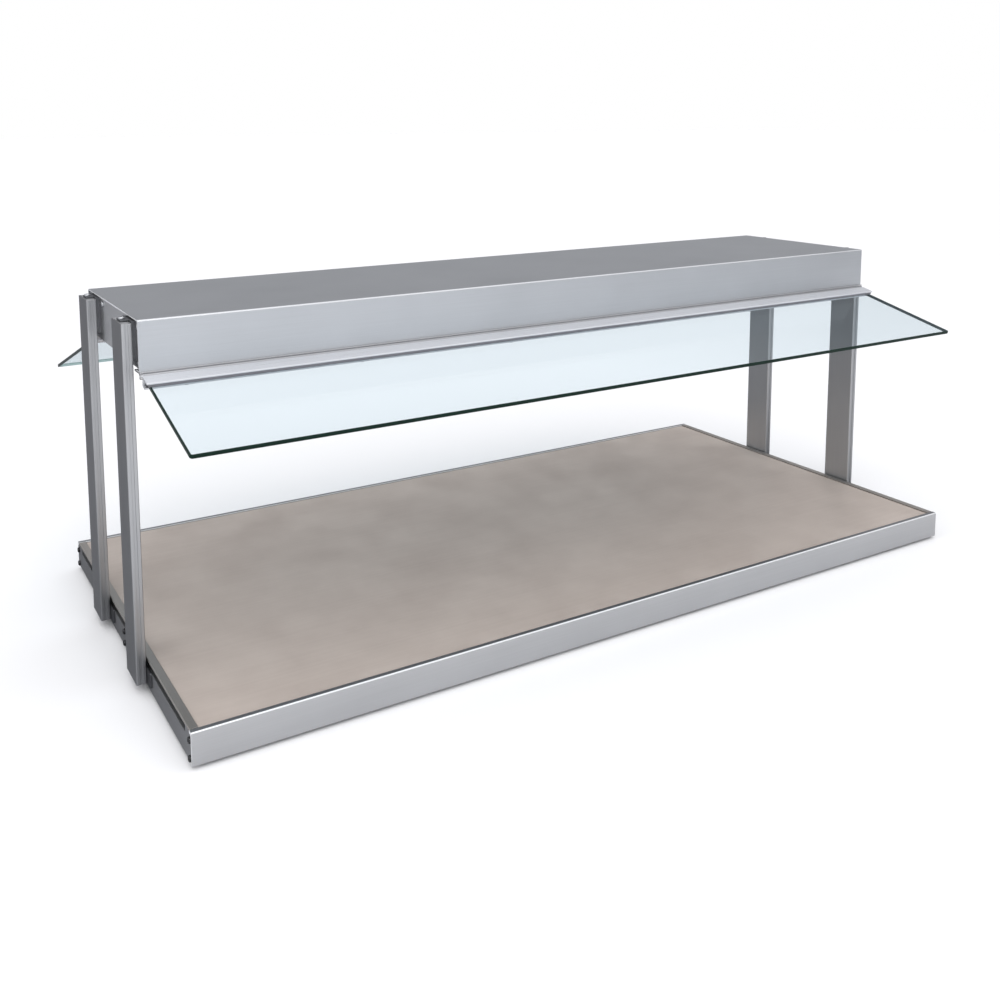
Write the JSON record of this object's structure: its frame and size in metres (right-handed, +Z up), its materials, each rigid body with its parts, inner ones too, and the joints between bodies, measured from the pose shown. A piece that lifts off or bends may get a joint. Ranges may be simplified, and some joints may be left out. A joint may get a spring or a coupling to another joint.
{
  "type": "buffet warmer",
  "caption": "Tabletop buffet warmer: heated shelf on a slim base, flat end posts, an overhead heater canopy, and a hinged leaning glass guard along each long side",
  "frame": {"origin": "on the counter, in the middle of the overall footprint with both guards at rest", "axes": "+X along the warmer towards the control end, +Y towards the deeper rear guard, +Z up"},
  "size_m": [1.111, 0.6654, 0.405],
  "materials": {
    "rail_aluminium": "satin anodised extrusion",
    "stainless_sheet": "brushed",
    "trim_aluminium": "satin anodised, darker than the rails",
    "shelf_hardcoat": "satin hard coat, warm grey",
    "heater_silicone": "matt silicone",
    "insulation_wool": "mineral wool",
    "zinc_sheet": "zinc coated",
    "bright_sheath": "bright drawn tube and bar",
    "terminal_plastic": "matt",
    "black_nylon": "matt black",
    "grey_nylon": "matt grey, close to the posts",
    "foot_rubber": "matt black",
    "steel_screws": "bright zinc",
    "post_aluminium": "satin anodised tube",
    "bracket_steel": "brushed, darker",
    "lead_silicone": "silicone lead, off-white",
    "canopy_aluminium": "satin anodised sheet",
    "reflector_aluminium": "bright rolled",
    "element_sheath": "dark oxidised sheath",
    "rocker_red": "gloss",
    "black_phenolic": "satin moulded",
    "lamp_amber": "translucent lens",
    "holder_aluminium": "brushed along its length",
    "clear_glass": "clear, green at the edges",
    "gasket_rubber": "matt black"
  },
  "bodies": {
    "cabinet": {"front_rail": "rail_aluminium", "rear_rail": "rail_aluminium", "left_base_end_plate": "stainless_sheet", "right_base_end_plate": "stainless_sheet", "left_end_trim": "trim_aluminium", "right_end_trim": "trim_aluminium", "shelf_plate": "shelf_hardcoat", "shelf_heater": "heater_silicone", "shelf_insulation": "insulation_wool", "bottom_pan": "zinc_sheet", "thermostat_bulb": "bright_sheath", "base_terminal_block": "terminal_plastic", "cord_gland": "black_nylon", "rubber_feet": "foot_rubber", "foot_screws": "steel_screws", "base_end_screws": "steel_screws", "left_front_post": "post_aluminium", "left_rear_post": "post_aluminium", "right_front_post": "post_aluminium", "right_rear_post": "post_aluminium", "lower_post_brackets": "bracket_steel", "upper_post_brackets": "bracket_steel", "post_bolts": "steel_screws", "post_end_plugs": "grey_nylon", "post_top_screws": "steel_screws", "post_conduit": "zinc_sheet", "base_leads": "lead_silicone", "canopy_skin": "canopy_aluminium", "left_canopy_end_plate": "stainless_sheet", "right_canopy_end_plate": "stainless_sheet", "canopy_end_screws": "steel_screws", "front_reflector": "reflector_aluminium", "rear_reflector": "reflector_aluminium", "reflector_centre_rail": "reflector_aluminium", "front_heating_element": "element_sheath", "rear_heating_element": "element_sheath", "element_supports": "zinc_sheet", "canopy_insulation": "insulation_wool", "wiring_bulkhead": "zinc_sheet", "switch_housing": "black_nylon", "element_control_body": "black_phenolic", "thermostat_body": "black_phenolic", "indicator_lamp": "lamp_amber", "canopy_leads": "lead_silicone", "front_hinge_rail": "rail_aluminium", "rear_hinge_rail": "rail_aluminium", "hinge_rail_rivets": "steel_screws"},
    "front_guard": {"front_glass_holder": "holder_aluminium", "front_glass_gasket": "gasket_rubber", "front_glass": "clear_glass", "front_clamp_screws": "steel_screws"},
    "rear_guard": {"rear_glass_holder": "holder_aluminium", "rear_glass_gasket": "gasket_rubber", "rear_glass": "clear_glass", "rear_clamp_screws": "steel_screws"},
    "rocker": {"power_rocker": "rocker_red"},
    "element_dial": {"element_control_shaft": "bright_sheath", "element_knob": "black_phenolic"},
    "thermostat_dial": {"thermostat_shaft": "bright_sheath", "thermostat_knob": "black_phenolic"}
  },
  "joints": [
    {"name": "front_guard_hinge", "type": "hinge", "parent": "cabinet", "child": "front_guard", "pos_m": [0, -0.17931, 0.348], "axis": [-1, 0, 0], "range_deg": [0, 70]},
    {"name": "rear_guard_hinge", "type": "hinge", "parent": "cabinet", "child": "rear_guard", "pos_m": [0, 0.06369, 0.348], "axis": [1, 0, 0], "range_deg": [0, 70]},
    {"name": "power_rocker_pivot", "type": "hinge", "parent": "cabinet", "child": "rocker", "pos_m": [0.5376, -0.10181, 0.377], "axis": [0, 1, 0], "range_deg": [0, 16]},
    {"name": "element_control_turn", "type": "hinge", "parent": "cabinet", "child": "element_dial", "pos_m": [0.5425, -0.01781, 0.377], "axis": [-1, 0, 0], "range_deg": [0, 300]},
    {"name": "thermostat_turn", "type": "hinge", "parent": "cabinet", "child": "thermostat_dial", "pos_m": [0.5425, -0.05781, 0.377], "axis": [-1, 0, 0], "range_deg": [0, 270]}
  ]
}
